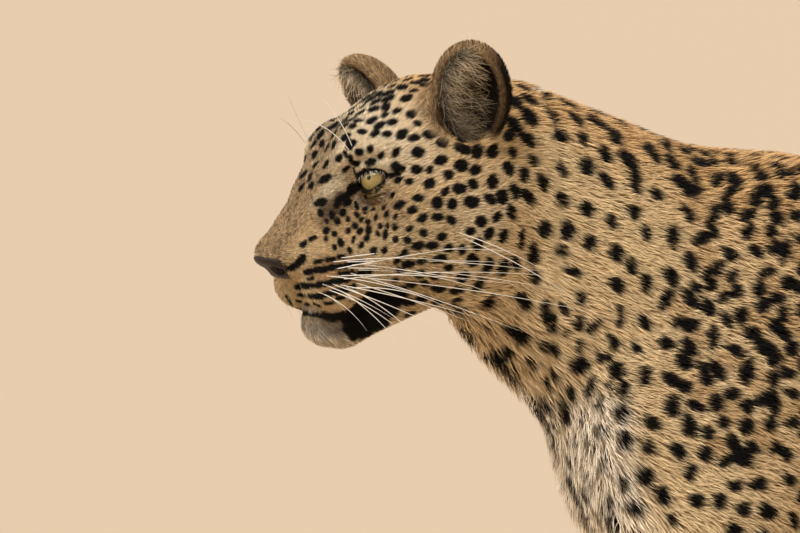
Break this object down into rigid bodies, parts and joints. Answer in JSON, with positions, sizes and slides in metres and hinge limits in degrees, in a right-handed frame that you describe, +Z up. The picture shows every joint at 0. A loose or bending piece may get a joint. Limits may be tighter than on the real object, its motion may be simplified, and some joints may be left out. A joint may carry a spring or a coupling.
{
  "type": "leopard",
  "caption": "Life-size standing leopard as a still model, head held low and turned slightly to its left, tail hanging and curled up at the tip.",
  "frame": {"origin": "on the ground under the middle of the whole outline, tail included", "axes": "the leopard faces -X, its left side is towards -Y, +Z is up"},
  "size_m": [1.5066, 0.2776, 0.7534],
  "materials": {
    "coat": "short fur, golden buff with black spots and rosettes, cream below",
    "ear": "short fur, black at the back with a pale patch, cream hair inside",
    "nose": "damp bare skin, dark grey-brown",
    "eye": "wet and glossy, pale khaki-yellow iris with a small round pupil"
  },
  "bodies": {
    "root": {"head": "coat", "lower_jaw": "coat", "nose_pad": "nose", "ear_left": "ear", "ear_right": "ear", "eye_left": "eye", "eye_right": "eye", "neck": "coat", "torso": "coat", "foreleg_left": "coat", "foreleg_right": "coat", "forepaw_left": "coat", "forepaw_right": "coat", "thigh_left": "coat", "thigh_right": "coat", "shank_left": "coat", "shank_right": "coat", "hind_foot_left": "coat", "hind_foot_right": "coat", "hind_paw_left": "coat", "hind_paw_right": "coat", "tail_base": "coat", "tail_middle": "coat", "tail_end": "coat"}
  },
  "joints": []
}
